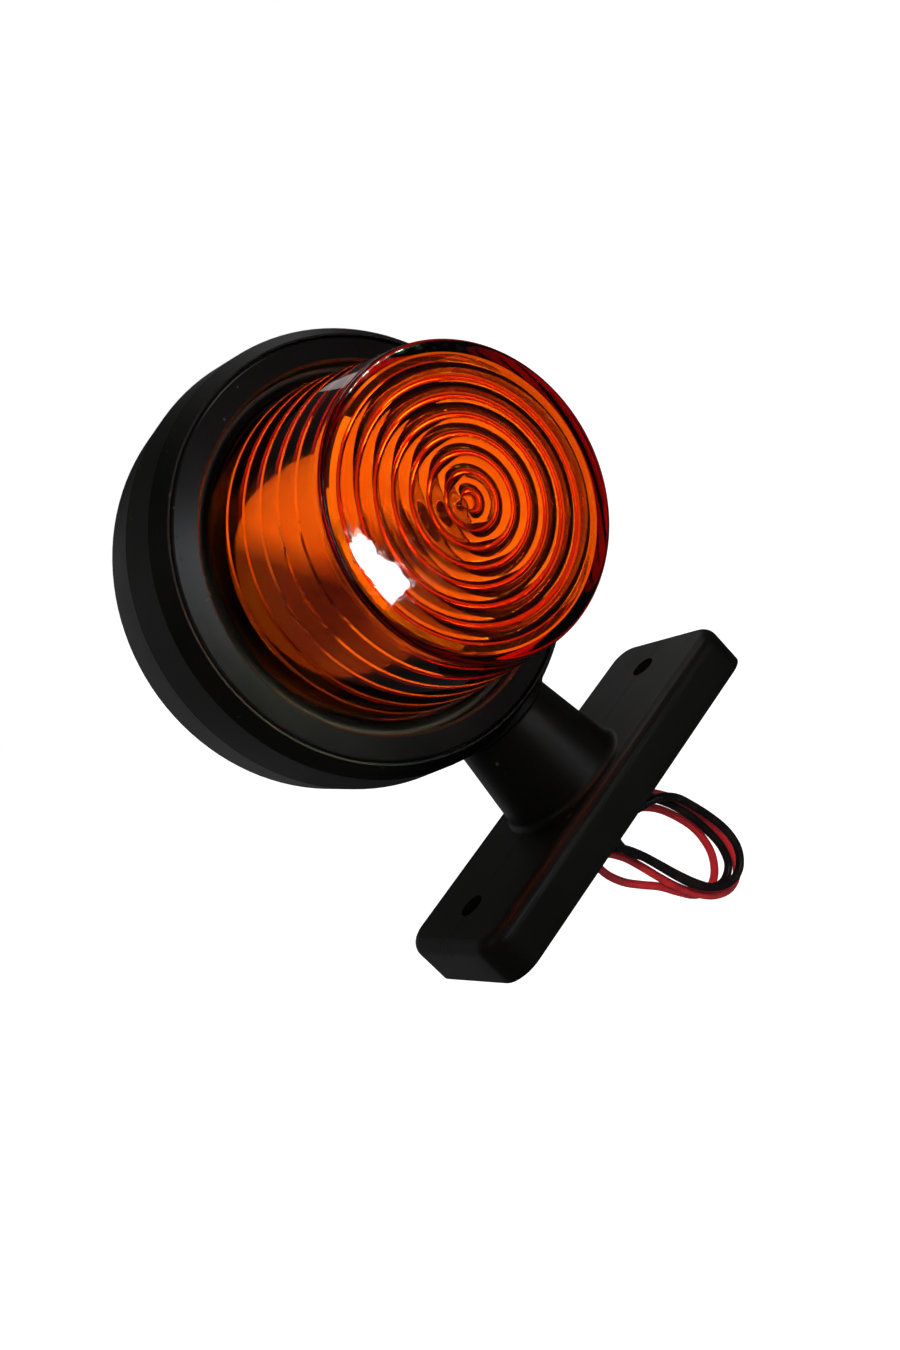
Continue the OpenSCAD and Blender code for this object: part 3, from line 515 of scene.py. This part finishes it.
def screw_tree():
    """A row of pan-head screws with a cross recess, each on its shank."""
    tree, nodes, links, given, made = rule_tree("Pan-head screws", (
        ("Count", "Int", 2), ("Spacing", "Float", 0.028), ("Head radius", "Float", 0.0028),
        ("Head height", "Float", 0.0018), ("Shank radius", "Float", 0.0014), ("Shank length", "Float", 0.005),
        ("Recess width", "Float", 0.0007)), "Screws")

    def solid(kind, inputs, shift):
        form = nodes.new(kind)
        for socket, value in inputs.items():
            if isinstance(value, (int, float)):
                form.inputs[socket].default_value = value
            else:
                links.new(value, form.inputs[socket])
        moved = nodes.new("GeometryNodeTransform")
        links.new(form.outputs["Mesh"], moved.inputs["Geometry"])
        links.new(shift, moved.inputs["Translation"])
        return moved.outputs["Geometry"]

    high = given.outputs["Head height"]
    dome = nodes.new("GeometryNodeMeshUVSphere")
    dome.inputs["Segments"].default_value = 40
    dome.inputs["Rings"].default_value = 20
    links.new(given.outputs["Head radius"], dome.inputs["Radius"])
    flat = nodes.new("GeometryNodeSetPosition")
    split = nodes.new("ShaderNodeSeparateXYZ")
    links.new(nodes.new("GeometryNodeInputPosition").outputs[0], split.inputs[0])
    share = calc(nodes, links, "DIVIDE", split.outputs["Z"], given.outputs["Head radius"])
    lifted = calc(nodes, links, "MULTIPLY", calc(nodes, links, "MAXIMUM", share, 0), high)
    links.new(dome.outputs["Mesh"], flat.inputs["Geometry"])
    links.new(placed_vector(nodes, links, split.outputs["X"], split.outputs["Y"], lifted), flat.inputs["Position"])
    slots = [solid("GeometryNodeMeshCube", {"Size": placed_vector(nodes, links, *size)},
                   placed_vector(nodes, links, 0, 0, high))
             for size in ((given.outputs["Recess width"], given.outputs["Head radius"], high),
                          (given.outputs["Head radius"], given.outputs["Recess width"], high))]
    carved = nodes.new("GeometryNodeMeshBoolean")
    carved.operation = "DIFFERENCE"
    carved.solver = "EXACT"
    links.new(flat.outputs["Geometry"], carved.inputs["Mesh 1"])
    for slot in slots:
        links.new(slot, carved.inputs["Mesh 2"])
    half = calc(nodes, links, "MULTIPLY", given.outputs["Shank length"], -0.5)
    shank = solid("GeometryNodeMeshCylinder", {"Vertices": 24, "Radius": given.outputs["Shank radius"],
                                               "Depth": given.outputs["Shank length"]},
                  placed_vector(nodes, links, 0, 0, half))
    screw = nodes.new("GeometryNodeJoinGeometry")
    links.new(carved.outputs["Mesh"], screw.inputs[0])
    links.new(shank, screw.inputs[0])
    row = nodes.new("GeometryNodeMeshLine")
    links.new(given.outputs["Count"], row.inputs["Count"])
    first = calc(nodes, links, "MULTIPLY", given.outputs["Spacing"], -0.5)
    links.new(placed_vector(nodes, links, first, 0, 0), row.inputs["Start Location"])
    links.new(placed_vector(nodes, links, given.outputs["Spacing"], 0, 0), row.inputs["Offset"])
    copies = nodes.new("GeometryNodeInstanceOnPoints")
    links.new(row.outputs["Mesh"], copies.inputs["Points"])
    links.new(screw.outputs[0], copies.inputs["Instance"])
    finished(nodes, links, copies.outputs["Instances"], given, made)
    return tree


screws = grown("holder_fixings", screw_tree(), {"Spacing": 28 * MM, "Shank length": 4.8 * MM, "Finish": zinc})
flange_face = -7 * MM
screws.data.transform(Matrix.Translation((0, 0, flange_face)))
seat_on_axis(screws.data)
closed(screws.data, 30)
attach(screws, "lamp")
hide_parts("holder_screws")

# ---- Spring contact ----
# A coil of spring wire stands on the live tab and pushes a laminate disc with a riveted brass stud against
# the bulb. It shortens by 1.5 mm when the bulb is pressed in.
spring_wire = dressed("spring wire", worked_metal, {"Colour": (0.66, 0.67, 0.70), "Tarnish": (0.30, 0.28, 0.26)},
                      {"Gloss": 0.16, "Cloud scale": 500.0}, 0.00001, metallic=1.0)


def coil_tree():
    """Round wire wound in a straight coil, whose end turns lie closed."""
    tree, nodes, links, given, made = rule_tree("Wire coil", (
        ("Turns", "Float", 5.0), ("Coil radius", "Float", 0.005), ("Height", "Float", 0.006),
        ("Wire radius", "Float", 0.0004), ("Closed turns", "Float", 0.75), ("Points", "Int", 320)), "Coil")
    line = nodes.new("GeometryNodeCurvePrimitiveLine")
    fine = nodes.new("GeometryNodeResampleCurve")
    links.new(given.outputs["Points"], fine.inputs["Count"])
    links.new(line.outputs["Curve"], fine.inputs["Curve"])
    split = nodes.new("ShaderNodeSeparateXYZ")
    links.new(nodes.new("GeometryNodeInputPosition").outputs[0], split.inputs[0])
    turn = calc(nodes, links, "MULTIPLY", split.outputs["Z"], given.outputs["Turns"])
    angle = calc(nodes, links, "MULTIPLY", turn, 2 * math.pi)
    x, y = round_axis(nodes, links, angle, given.outputs["Coil radius"])
    closed_pitch = calc(nodes, links, "MULTIPLY", given.outputs["Wire radius"], 2.1)
    both_ends = calc(nodes, links, "MULTIPLY", given.outputs["Closed turns"], 2)
    free = calc(nodes, links, "SUBTRACT", given.outputs["Turns"], both_ends)
    solid_height = calc(nodes, links, "MULTIPLY", closed_pitch, given.outputs["Turns"])
    spare = calc(nodes, links, "SUBTRACT", given.outputs["Height"], solid_height)
    past_end = calc(nodes, links, "SUBTRACT", turn, given.outputs["Closed turns"])
    opened = ramp(nodes, links, calc(nodes, links, "DIVIDE", past_end, free), 0, 1)
    z = calc(nodes, links, "MULTIPLY_ADD", opened, spare, calc(nodes, links, "MULTIPLY", turn, closed_pitch))
    wound = nodes.new("GeometryNodeSetPosition")
    links.new(fine.outputs["Curve"], wound.inputs["Geometry"])
    links.new(placed_vector(nodes, links, x, y, z), wound.inputs["Position"])
    wire = wire_along(nodes, links, wound.outputs["Geometry"], given.outputs["Wire radius"], 12)
    finished(nodes, links, wire, given, made)
    return tree


coil = coil_tree()
spring = grown("contact_coil", coil, {"Turns": 5.0, "Coil radius": 5 * MM, "Height": 6.3 * MM,
                                      "Wire radius": 0.4 * MM, "Finish": spring_wire})
lowest_turn = -4.5 * MM
spring.data.transform(Matrix.Translation((0, 0, lowest_turn)))
seat_on_axis(spring.data)
closed(spring.data)
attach(spring, "lamp")
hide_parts("contact_spring")
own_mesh(spring)
dress("contact_disc", laminate)
dress("contact_stud", brass)

# ---- Reflector ----
# A shallow dish pressed from sheet and enamelled, whose collar grips the shell of the bulb holder. Its light
# copper colour is painted light, the amber tint of the light inside the lens, and a painted shade darkens its lower
# left side.
# Painted light: the copper colour stands in for the amber tint of the light inside the lens.
enamel = dressed("enamel with painted amber light and shade", moulded_skin,
                 {"Colour": (0.46, 0.25, 0.13), "Bloom": (0.39, 0.21, 0.11), "Dust": (0.36, 0.28, 0.2)},
                 {"Grain scale": 700.0, "Gloss": 0.2, "Spread": 0.2, "Dust share": 0.3}, 0.00003)


def painted_shade_along(material, towards, start, end, colour):
    """Paints shade on a finish in one direction, darker from a start to an end distance along it."""
    nodes, links = material.node_tree.nodes, material.node_tree.links
    along = nodes.new("ShaderNodeVectorMath")
    along.operation = "DOT_PRODUCT"
    links.new(nodes.new("ShaderNodeTexCoord").outputs["Object"], along.inputs[0])
    along.inputs[1].default_value = towards
    shade_share = ramp(nodes, links, along.outputs["Value"], start, end)
    skin_colour = nodes["Principled BSDF"].inputs["Base Color"]
    links.new(mixed(nodes, links, shade_share, skin_colour.links[0].from_socket, colour), skin_colour)


# Painted shade: the dish darkens towards its lower left side.
shade_from, shade_to = -30.1 * MM, -23.1 * MM
painted_shade_along(enamel, (-0.9, 0, -0.43), shade_from, shade_to, (0.05, 0.02, 0.01))
dress("reflector", enamel)

# ---- Bulb ----
# A 21 W bulb: a clear globe cemented in a brass bayonet cap, two side pins, a glass insulator with one
# soldered contact, and a coiled filament held across two posts on a glass stem.
clear_glass, nodes, links, shader = new_material("bulb glass")
shader.inputs["Transmission Weight"].default_value = 1
shader.inputs["IOR"].default_value = 1.5
cloud = noise(nodes, links, nodes.new("ShaderNodeTexCoord").outputs["Object"], 180, 2)
links.new(ramp(nodes, links, cloud, 0, 1, 0, 0.04), shader.inputs["Roughness"])
globe_r, neck_r, wall = 9.0, 7.0, 0.6
globe_d, neck_d = 31.0, 10.1
shoulder_d = globe_d - 8.2
shoulder_turn = 8
join = math.degrees(math.acos(neck_r / globe_r))
outer = [(neck_r, neck_d), (neck_r, shoulder_d)]
outer += rounded(0, globe_d, globe_r, shoulder_turn - join, 90, 26)
join = math.degrees(math.acos((neck_r - wall) / (globe_r - wall)))
inner = rounded(0, globe_d, globe_r - wall, 90, shoulder_turn - join, 26)
inner += [(neck_r - wall, shoulder_d), (neck_r - wall, neck_d)]
globe = turned("bulb_globe", outer + inner, 64, clear_glass)
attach(globe, "bulb")
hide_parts("bulb_glass")
dress("bulb_stem", clear_glass)
dress("bulb_cap", brass)
dress("bulb_pins", brass)
black_glass = dressed("black glass", moulded_skin,
                      {"Colour": (0.01, 0.006, 0.016), "Bloom": (0.02, 0.012, 0.03), "Dust": (0.2, 0.2, 0.2)},
                      {"Gloss": 0.05, "Spread": 0.1}, 0.00002)
dress("bulb_insulator", black_glass)
solder = dressed("solder", worked_metal, {"Colour": (0.60, 0.60, 0.62), "Tarnish": (0.32, 0.32, 0.33)},
                 {"Gloss": 0.3, "Cloud scale": 800.0}, 0.00008, metallic=1.0)
dress("bulb_contact", solder)
nickel = dressed("nickel wire", worked_metal, {"Colour": (0.52, 0.50, 0.47), "Tarnish": (0.2, 0.19, 0.18)},
                 {"Gloss": 0.3, "Cloud scale": 900.0}, 0.00001, metallic=1.0)
dress("filament_posts", nickel)
filament_l = 7.3
filament = grown("filament_coil", coil, {"Turns": 22.0, "Coil radius": 0.39 * MM, "Height": filament_l * MM,
                                         "Wire radius": 0.06 * MM, "Closed turns": 1.0, "Points": 500,
                                         "Finish": nickel})
left_post = Matrix.Translation((-filament_l / 2 * MM, -globe_d * MM, lens_axis_z))
filament.data.transform(left_post @ Matrix.Rotation(math.radians(90), 4, "Y"))
closed(filament.data)
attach(filament, "bulb")
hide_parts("filament")

# ---- Seal ----
# A flat rubber ring on the ledge of the cup, under the lens flange.
dress("lens_seal", black_rubber)

# ---- Lens ----
# One drum moulded in deep amber acrylic. Seven rounded rings are moulded inside its face, and five prisms
# inside its wall. Its flange is trapped between the seal and the ring.
ring_start, ring_pitch, ring_count = 1.7, 3.4, 7
prism_start, prism_pitch, prism_count = 17.6, 5.9, 5
prism_steep = 0.4


def lens_section():
    """The plain section, as radius and depth, each point marked where rings or prisms are added."""
    flange_low, flange_top, flange_r = 8.6, 10.9, 39.6
    base_r, rim_half, depth, rim_r, wall = 35.1, 29.3, 51.0, 1.0, 2.4
    side_top = depth - rim_r
    slope = (base_r - rim_half) / (side_top - flange_top)
    inner_face = depth - wall

    def inner(d):
        return base_r - (d - flange_top) * slope - wall

    plain = [(inner(flange_low), flange_low), (flange_r - 0.2, flange_low), (flange_r, flange_low + 0.2),
             (flange_r, flange_top - 0.2), (flange_r - 0.2, flange_top), (base_r + 0.5, flange_top),
             (base_r + 0.15, flange_top + 0.15), (base_r - 0.04, flange_top + 0.6)]
    plain += [(base_r - (d - flange_top) * slope, d) for d in (20, 30, 40, side_top - 0.6)]
    plain += rounded(rim_half - rim_r, side_top, rim_r, 0, 90, 10)
    plain += [((rim_half - rim_r) * (1 - i / 12), depth) for i in range(1, 13)]
    pip_r, pip_h, corner = 1.6, 1.1, 0.4
    plain += [(0, inner_face - pip_h), (0.9, inner_face - pip_h)]
    plain += rounded(pip_r - corner, inner_face - pip_h + corner, corner, -90, 0, 4)
    points = [(r, d, 0, 0) for r, d in plain]
    steps = 24
    points += [(ring_start + ring_pitch * i / steps, inner_face, 1, 0) for i in range(ring_count * steps + 1)]
    points.append((inner(inner_face) - corner, inner_face, 0, 0))
    points.append((inner(inner_face - corner), inner_face - corner, 0, 0))
    steps = 12
    depths = [prism_start + prism_pitch * i / steps for i in range(prism_count * steps, -1, -1)]
    points += [(inner(d), d, 0, 1) for d in depths]
    return points + [points[0]]


def lens_tree():
    """Turns the section round the axis, and adds the rings and prisms by their rule."""
    tree, nodes, links, given, made = rule_tree("Ringed drum", (
        ("Segments", "Int", 192), ("Ring start", "Float", ring_start * MM), ("Ring pitch", "Float", ring_pitch * MM),
        ("Ring height", "Float", 0.95 * MM), ("Ring crown", "Float", 0.8), ("Prism start", "Float", prism_start * MM),
        ("Prism pitch", "Float", prism_pitch * MM), ("Prism height", "Float", 0.4 * MM),
        ("Steep share", "Float", prism_steep / prism_pitch)), "Drum")
    tree.interface.new_socket("Section", in_out="INPUT", socket_type="NodeSocketGeometry")
    tree.interface.move(tree.interface.items_tree["Section"], 0)
    whole = given.outputs["Section"]
    size = nodes.new("GeometryNodeAttributeDomainSize")
    links.new(whole, size.inputs["Geometry"])
    rows = size.outputs["Point Count"]
    grid = nodes.new("GeometryNodeMeshGrid")
    links.new(calc(nodes, links, "ADD", given.outputs["Segments"], 1), grid.inputs["Vertices X"])
    links.new(rows, grid.inputs["Vertices Y"])
    index = nodes.new("GeometryNodeInputIndex").outputs[0]
    row = calc(nodes, links, "MODULO", index, rows)
    past = calc(nodes, links, "DIVIDE", calc(nodes, links, "ADD", index, 0.5), rows)
    column = calc(nodes, links, "FLOOR", past, 0)
    share_round = calc(nodes, links, "DIVIDE", column, given.outputs["Segments"])
    angle = calc(nodes, links, "MULTIPLY", share_round, 2 * math.pi)

    def sampled(kind, field):
        taken = nodes.new("GeometryNodeSampleIndex")
        taken.data_type = kind
        links.new(whole, taken.inputs["Geometry"])
        links.new(field, taken.inputs["Value"])
        links.new(row, taken.inputs["Index"])
        return taken.outputs["Value"]

    def mark(name):
        named = nodes.new("GeometryNodeInputNamedAttribute")
        named.data_type = "FLOAT"
        named.inputs["Name"].default_value = name
        return sampled("FLOAT", named.outputs["Attribute"])

    split = nodes.new("ShaderNodeSeparateXYZ")
    links.new(sampled("FLOAT_VECTOR", nodes.new("GeometryNodeInputPosition").outputs[0]), split.inputs[0])
    radius, depth = split.outputs["X"], split.outputs["Z"]
    from_first = calc(nodes, links, "SUBTRACT", radius, given.outputs["Ring start"])
    pitches = calc(nodes, links, "DIVIDE", from_first, given.outputs["Ring pitch"])
    wave = calc(nodes, links, "SINE", calc(nodes, links, "MULTIPLY", pitches, math.pi), 0)
    bead = calc(nodes, links, "POWER", calc(nodes, links, "ABSOLUTE", wave, 0), given.outputs["Ring crown"])
    bead = calc(nodes, links, "MULTIPLY", bead, given.outputs["Ring height"])
    bead = calc(nodes, links, "MULTIPLY", bead, mark("rings"))
    from_first = calc(nodes, links, "SUBTRACT", depth, given.outputs["Prism start"])
    share = calc(nodes, links, "FRACT", calc(nodes, links, "DIVIDE", from_first, given.outputs["Prism pitch"]), 0)
    rise = calc(nodes, links, "DIVIDE", share, given.outputs["Steep share"])
    long_share = calc(nodes, links, "SUBTRACT", 1, given.outputs["Steep share"])
    fall = calc(nodes, links, "DIVIDE", calc(nodes, links, "SUBTRACT", 1, share), long_share)
    tooth = calc(nodes, links, "MULTIPLY", calc(nodes, links, "MINIMUM", rise, fall), given.outputs["Prism height"])
    tooth = calc(nodes, links, "MULTIPLY", tooth, mark("prisms"))
    radius = calc(nodes, links, "SUBTRACT", radius, tooth)
    x, y = round_axis(nodes, links, angle, radius)
    turned_round = nodes.new("GeometryNodeSetPosition")
    links.new(grid.outputs["Mesh"], turned_round.inputs["Geometry"])
    z = calc(nodes, links, "SUBTRACT", depth, bead)
    links.new(placed_vector(nodes, links, x, y, z), turned_round.inputs["Position"])
    finished(nodes, links, turned_round.outputs["Geometry"], given, made)
    return tree


def amber_acrylic():
    """Dyed acrylic: clear gloss over a deep orange body, with faint flow and fine scuffs."""
    material, nodes, links, shader = new_material("amber acrylic")
    shader.inputs["Base Color"].default_value = (1, 1, 1, 1)
    shader.inputs["Transmission Weight"].default_value = 1
    shader.inputs["IOR"].default_value = 1.49
    place = nodes.new("ShaderNodeTexCoord").outputs["Object"]
    flow = noise(nodes, links, place, 55, 2)
    scuffs = noise(nodes, links, place, 650, 5)
    worn = ramp(nodes, links, scuffs, 0.5, 0.62, 0, 0.05)
    links.new(calc(nodes, links, "MULTIPLY_ADD", flow, 0.03, worn), shader.inputs["Roughness"])
    bump = nodes.new("ShaderNodeBump")
    bump.inputs["Strength"].default_value = 0.2
    bump.inputs["Distance"].default_value = 0.0004
    links.new(calc(nodes, links, "MULTIPLY_ADD", scuffs, 0.04, flow), bump.inputs["Height"])
    links.new(bump.outputs["Normal"], shader.inputs["Normal"])
    dye = nodes.new("ShaderNodeVolumeAbsorption")
    dye.inputs["Color"].default_value = (0.96, 0.75, 0.0, 1)
    dye.inputs["Density"].default_value = 2000
    links.new(dye.outputs[0], nodes["Material Output"].inputs["Volume"])
    return material


section_points = lens_section()
section = bpy.data.meshes.new("lens_section")
section.from_pydata([(r * MM, 0, d * MM) for r, d, rings, prisms in section_points],
                    [(i, i + 1) for i in range(len(section_points) - 1)], [])
for label, column in (("rings", 2), ("prisms", 3)):
    marks = section.attributes.new(label, "FLOAT", "POINT")
    marks.data.foreach_set("value", [float(p[column]) for p in section_points])
amber = amber_acrylic()
lens = grown("lens_drum", lens_tree(), {"Segments": 192, "Finish": amber}, section)
seat_on_axis(lens.data)
closed(lens.data, 25)
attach(lens, "lens_unit")
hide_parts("lens")
lens.visible_shadow = False

# ---- Lens ring ----
# A satin black ring pressed into the head's rubber lip. It holds the lens flange down on the seal. A black fillet
# at the foot of the gap between the ring and the drum is painted shade, a dark piece standing in for the shadow
# there.
ring_plastic = dressed("ring plastic", moulded_skin,
                       {"Colour": (0.003, 0.0034, 0.0042), "Bloom": (0.005, 0.0056, 0.007),
                        "Dust": (0.04, 0.04, 0.04)},
                       {"Grain scale": 2200.0, "Gloss": 0.2, "Spread": 0.1, "Dust share": 0.5}, 0.00002)
dress("lens_ring", ring_plastic)
# Painted shade: a black piece that stands in for the shadow at the foot of the gap between the ring and the drum.
fillet = turned("gap_shade_fillet", [(35.7, 10.95), (35.33, 11.1), (35.13, 11.5), (34.86, 13.1), (35.2, 12.5),
                                   (35.8, 11.95), (36.5, 11.8), (37.05, 12.0), (37.24, 12.3), (37.24, 10.95)],
                128, black_rubber)
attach(fillet, "lens_unit")

# ---- Studio ----
# A plain white surround and a low pale floor, dim in gloss so that the dark rubber stays deep. A small bright
# window stands at the front right, soft boxes and cards around, and a box in front shows only through the lens.
scene = bpy.context.scene
scene.view_settings.view_transform = "Standard"
world = bpy.data.worlds.new("studio")
scene.world = world
world.use_nodes = True
nodes, links = world.node_tree.nodes, world.node_tree.links


def white_when_seen(nodes, links, lit, seen, mirrored):
    """A strength for the light it gives, for where it is seen straight or through glass, and for gloss."""
    rays = nodes.new("ShaderNodeLightPath")
    straight = calc(nodes, links, "MAXIMUM", rays.outputs["Is Camera Ray"], rays.outputs["Is Transmission Ray"])
    gloss = calc(nodes, links, "SUBTRACT", rays.outputs["Is Reflection Ray"], rays.outputs["Is Diffuse Ray"])
    shown = ramp(nodes, links, straight, 0, 1, lit, seen)
    return calc(nodes, links, "MULTIPLY", shown, ramp(nodes, links, gloss, 0, 1, 1, mirrored / lit))


nodes["Background"].inputs["Color"].default_value = (1, 1, 1, 1)
links.new(white_when_seen(nodes, links, lit=0.4, seen=1.0, mirrored=0.03), nodes["Background"].inputs["Strength"])

floor_z, floor_half = -0.5, 7
floor_mesh = bpy.data.meshes.new("floor")
floor_mesh.from_pydata([(x * floor_half, y * floor_half, floor_z) for x, y in ((1, 1), (-1, 1), (-1, -1), (1, -1))],
                       [], [(0, 1, 2, 3)])
floor = new_piece("floor", floor_mesh)
pale, nodes, links, shader = new_material("pale floor")
shader.inputs["Base Color"].default_value = (0.8, 0.8, 0.8, 1)
shader.inputs["Roughness"].default_value = 0.8
shader.inputs["Emission Color"].default_value = (1, 1, 1, 1)
glow = white_when_seen(nodes, links, lit=0.001, seen=0.85, mirrored=0.0)
links.new(glow, shader.inputs["Emission Strength"])
floor.data.materials.append(pale)
floor.visible_glossy = False


def lamp(name, place, aim, width, height, power, colour=(1, 1, 1)):
    """A rectangular lamp at a place, aimed at another place; sizes are in metres, and its power in watts."""
    light = bpy.data.lights.new(name, "AREA")
    light.shape = "RECTANGLE"
    light.size, light.size_y = width, height
    light.energy = power
    light.color = colour
    thing = bpy.data.objects.new(name, light)
    scene.collection.objects.link(thing)
    aimed = (Vector(aim) - Vector(place)).to_track_quat("-Z", "Y").to_matrix().to_4x4()
    thing.matrix_world = Matrix.Translation(place) @ aimed
    return thing


lamp("window", (0.287, -0.65, -0.037), (-0.0236, -0.051, 0.082), 0.016, 0.046, 0.12)
lamp("overhead", (0.35, -0.1, 0.75), (0, -0.015, 0.01), 0.3, 0.3, 0.5)
lamp("soft front", (0.09, -0.89, 0.15), (-0.04, -0.015, 0.077), 0.18, 0.28, 0.35, (0.9, 0.95, 1.0))
lamp("rim light", (-0.60, -0.19, 0.80), (-0.02, -0.05, 0.077), 0.08, 0.08, 0.12)
lamp("back card", (-0.22, 1.0, 0.05), (-0.04, 0.0, 0.06), 0.8, 1.1, 0.35)
lamp("right card", (0.78, 0.82, 0.67), (0.03, 0, 0.01), 0.45, 0.5, 0.4)
key = lamp("key", (-0.35, -0.75, 0.65), (0, -0.03, 0.077), 0.12, 0.12, 6.5, (1, 0.6, 0.44))
key.visible_glossy = False
ring_box = lamp("ring box", (0.62, -0.95, 0.25), (0, -0.03, 0.077), 0.22, 0.22, 34, (0.66, 1, 0.7))
ring_box.visible_glossy = ring_box.visible_diffuse = False
